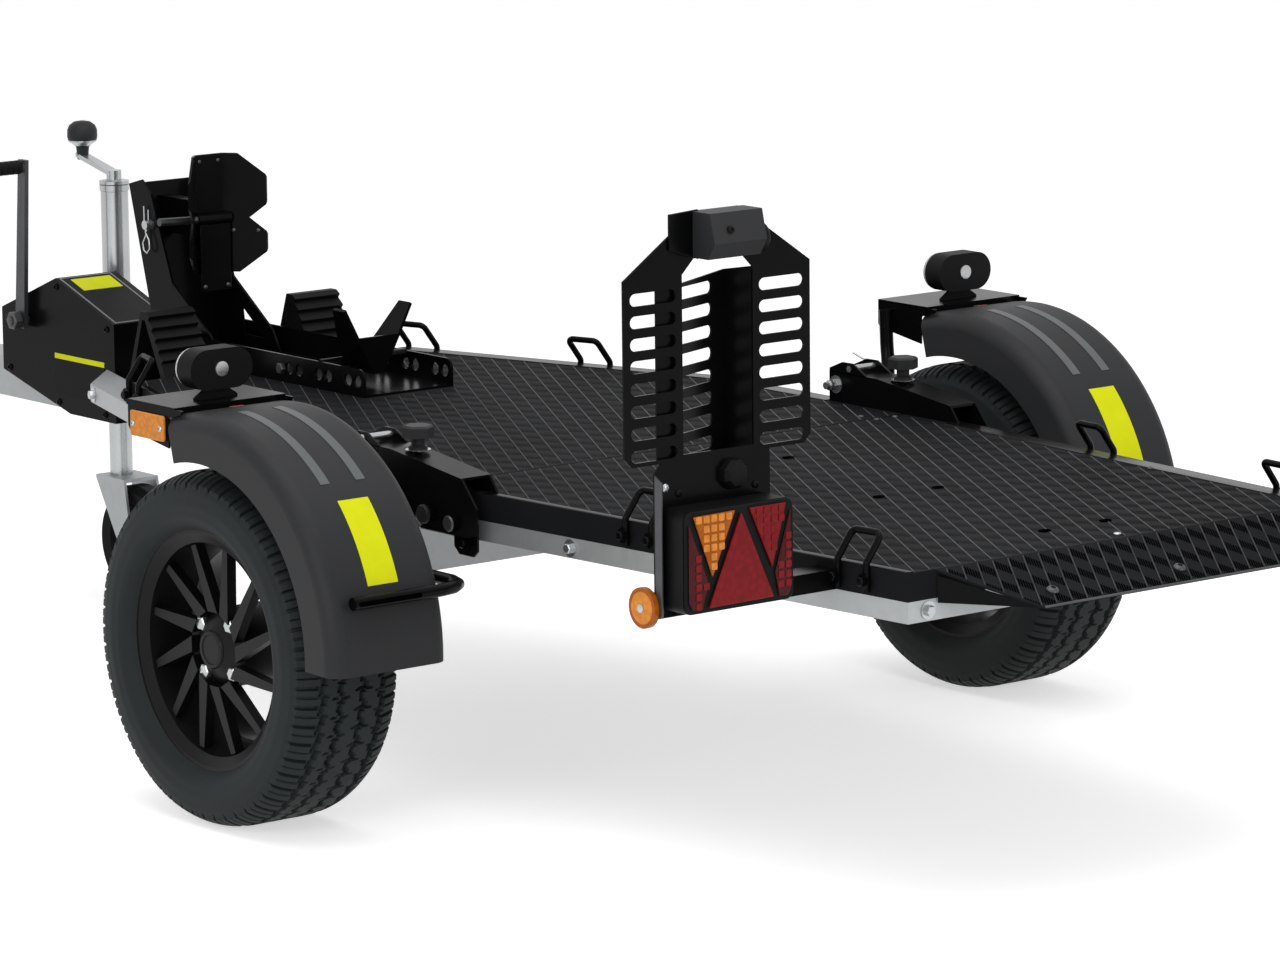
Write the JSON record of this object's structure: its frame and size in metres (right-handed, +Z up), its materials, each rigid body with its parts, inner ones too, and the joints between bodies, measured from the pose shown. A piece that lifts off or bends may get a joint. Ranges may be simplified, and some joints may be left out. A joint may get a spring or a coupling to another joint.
{
  "type": "motorcycle trailer",
  "caption": "Low flat-deck trailer for carrying a motorcycle, with fenders, rear lamps, a front wheel chock, a drawbar winch and a jockey wheel.",
  "frame": {"origin": "on the ground, under the middle of the overall box", "axes": "+X forward to the coupling, +Y left, +Z up"},
  "size_m": [3.222, 1.659, 0.989],
  "materials": {
    "black_powder_coat": "satin",
    "galvanised_steel": "matte",
    "fender_plastic": "satin",
    "tyre_rubber": "matte",
    "alloy_wheel": "satin",
    "black_plastic": "matte",
    "lamp_housing": "gloss",
    "amber_lens": "gloss"
  },
  "bodies": {
    "frame": {"axle_beam": "galvanised_steel", "chock_base": "black_powder_coat", "chock_cradle": "black_powder_coat", "chock_tower": "black_powder_coat", "chock_wedges": "black_plastic", "coupling_head": "galvanised_steel", "drawbar": "galvanised_steel", "front_crossmember": "galvanised_steel", "front_deck_plate": "black_powder_coat", "jockey_clamp": "galvanised_steel", "jockey_outer_tube": "galvanised_steel", "lashing_rings": "black_powder_coat", "left_fender": "fender_plastic", "left_fender_stays": "black_powder_coat", "left_front_rail": "galvanised_steel", "left_lamp_bracket": "black_powder_coat", "left_lock_bracket": "black_powder_coat", "left_rear_rail": "galvanised_steel", "marker_lamps": "black_plastic", "nose_crossmember": "galvanised_steel", "plate_lamp": "black_plastic", "rear_crossmember": "galvanised_steel", "rear_deck_plate": "black_powder_coat", "rear_lamps": "lamp_housing", "right_fender": "fender_plastic", "right_fender_stays": "black_powder_coat", "right_front_rail": "galvanised_steel", "right_lamp_bracket": "black_powder_coat", "right_lock_bracket": "black_powder_coat", "right_rear_rail": "galvanised_steel", "side_reflectors": "amber_lens", "suspension_arms": "black_powder_coat", "winch_housing": "black_powder_coat"},
    "left_wheel": {"left_tyre": "tyre_rubber", "left_rim": "alloy_wheel"},
    "right_wheel": {"right_tyre": "tyre_rubber", "right_rim": "alloy_wheel"},
    "jockey_stem": {"jockey_inner_tube": "galvanised_steel"},
    "jockey_caster": {"jockey_fork": "galvanised_steel"},
    "jockey_roller": {"jockey_wheel": "black_plastic"},
    "jockey_handle": {"jockey_crank": "galvanised_steel"},
    "winch_handle": {"winch_crank": "galvanised_steel"},
    "left_knob": {"left_lock_knob": "black_plastic"},
    "right_knob": {"right_lock_knob": "black_plastic"},
    "rocker": {"chock_rocker": "black_powder_coat"}
  },
  "joints": [
    {"name": "left_wheel_spin", "type": "hinge", "parent": "frame", "child": "left_wheel", "pos_m": [-0.39, 0.727, 0.2625], "axis": [0, 1, 0], "continuous": true},
    {"name": "right_wheel_spin", "type": "hinge", "parent": "frame", "child": "right_wheel", "pos_m": [-0.39, -0.727, 0.2625], "axis": [0, 1, 0], "continuous": true},
    {"name": "jockey_lift", "type": "slide", "parent": "frame", "child": "jockey_stem", "axis": [0, 0, 1], "range_m": [0, 0.125]},
    {"name": "jockey_swivel", "type": "hinge", "parent": "jockey_stem", "child": "jockey_caster", "pos_m": [1.163, -0.095, 0.206], "axis": [0, 0, 1], "continuous": true},
    {"name": "jockey_wheel_spin", "type": "hinge", "parent": "jockey_caster", "child": "jockey_roller", "pos_m": [1.103, -0.095, 0.1], "axis": [0, 1, 0], "continuous": true},
    {"name": "jockey_crank_turn", "type": "hinge", "parent": "frame", "child": "jockey_handle", "pos_m": [1.163, -0.095, 0.722], "axis": [0, 0, 1], "range_deg": [0, 11250]},
    {"name": "winch_crank_turn", "type": "hinge", "parent": "frame", "child": "winch_handle", "pos_m": [1.208, 0.075, 0.496], "axis": [0, 1, 0], "continuous": true},
    {"name": "left_knob_turn", "type": "hinge", "parent": "frame", "child": "left_knob", "pos_m": [-0.476, 0.474, 0.54], "axis": [0, 0, 1], "continuous": true},
    {"name": "right_knob_turn", "type": "hinge", "parent": "frame", "child": "right_knob", "pos_m": [-0.476, -0.474, 0.54], "axis": [0, 0, 1], "continuous": true},
    {"name": "rocker_tilt", "type": "hinge", "parent": "frame", "child": "rocker", "pos_m": [0.31, 0, 0.525], "axis": [0, 1, 0], "range_deg": [0, 35]}
  ],
  "couplings": [
    {"joint": "jockey_crank_turn", "follows": "jockey_lift", "rad_per_m": 1570.8}
  ]
}
